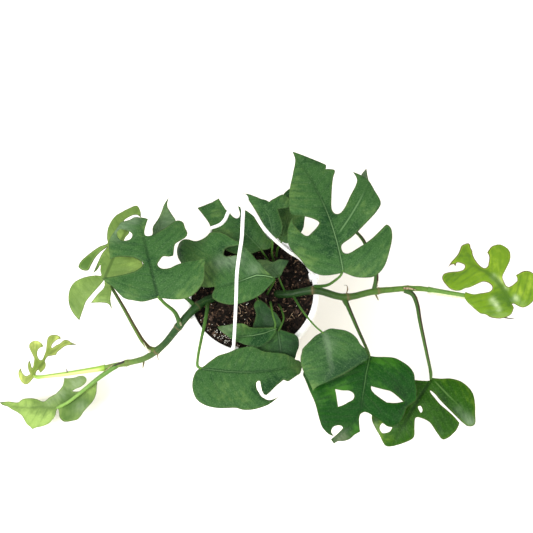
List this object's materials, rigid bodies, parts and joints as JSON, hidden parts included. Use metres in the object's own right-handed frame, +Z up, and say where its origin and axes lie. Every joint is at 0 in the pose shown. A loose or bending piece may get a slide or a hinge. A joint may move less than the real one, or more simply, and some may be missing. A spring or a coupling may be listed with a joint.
{
  "type": "potted mini monstera",
  "caption": "Trailing mini monstera with split and holed leaves on long stalks, planted in a white plastic hanging pot with its wire-like hanger and hook.",
  "frame": {"origin": "middle of the flat underside of the pot, where it stands", "axes": "+Z up along the pot's axis, +Y away from the viewer of the picture, +X to the viewer's right along the longer vines"},
  "size_m": [0.6377, 0.318, 0.391],
  "materials": {
    "white_plastic": "satin white moulded plastic",
    "soil": "rough dark bark and potting soil",
    "leaf": "waxy mid green leaf, paler veins",
    "young_leaf": "glossy yellow-green young leaf",
    "stalk": "smooth green leaf stalk",
    "vine": "dark green jointed stem"
  },
  "bodies": {
    "root": {"blade_front_holed": "leaf", "blade_front_left": "leaf", "blade_front_round": "leaf", "blade_left_back": "leaf", "blade_left_large": "leaf", "blade_left_outer": "young_leaf", "blade_left_tip_curled": "young_leaf", "blade_left_tip_lower": "young_leaf", "blade_pot_back": "leaf", "blade_pot_back_left": "leaf", "blade_pot_back_right": "leaf", "blade_pot_centre": "leaf", "blade_pot_front_left": "leaf", "blade_pot_front_right": "leaf", "blade_pot_middle": "leaf", "blade_pot_small": "leaf", "blade_right_front": "leaf", "blade_right_tip": "young_leaf", "blade_top_large": "leaf", "blade_top_small": "leaf", "hanger_hook": "white_plastic", "hanger_strand_front": "white_plastic", "hanger_strand_left": "white_plastic", "hanger_strand_right": "white_plastic", "petiole_front_holed": "stalk", "petiole_front_left": "stalk", "petiole_front_round": "stalk", "petiole_left_back": "stalk", "petiole_left_large": "stalk", "petiole_left_outer": "stalk", "petiole_left_tip_curled": "stalk", "petiole_left_tip_lower": "stalk", "petiole_pot_back": "stalk", "petiole_pot_back_left": "stalk", "petiole_pot_back_right": "stalk", "petiole_pot_centre": "stalk", "petiole_pot_front_left": "stalk", "petiole_pot_front_right": "stalk", "petiole_pot_middle": "stalk", "petiole_pot_small": "stalk", "petiole_right_front": "stalk", "petiole_right_tip": "stalk", "petiole_top_large": "stalk", "petiole_top_small": "stalk", "pot": "white_plastic", "soil": "soil", "vine_left": "vine", "vine_right": "vine"}
  },
  "joints": []
}
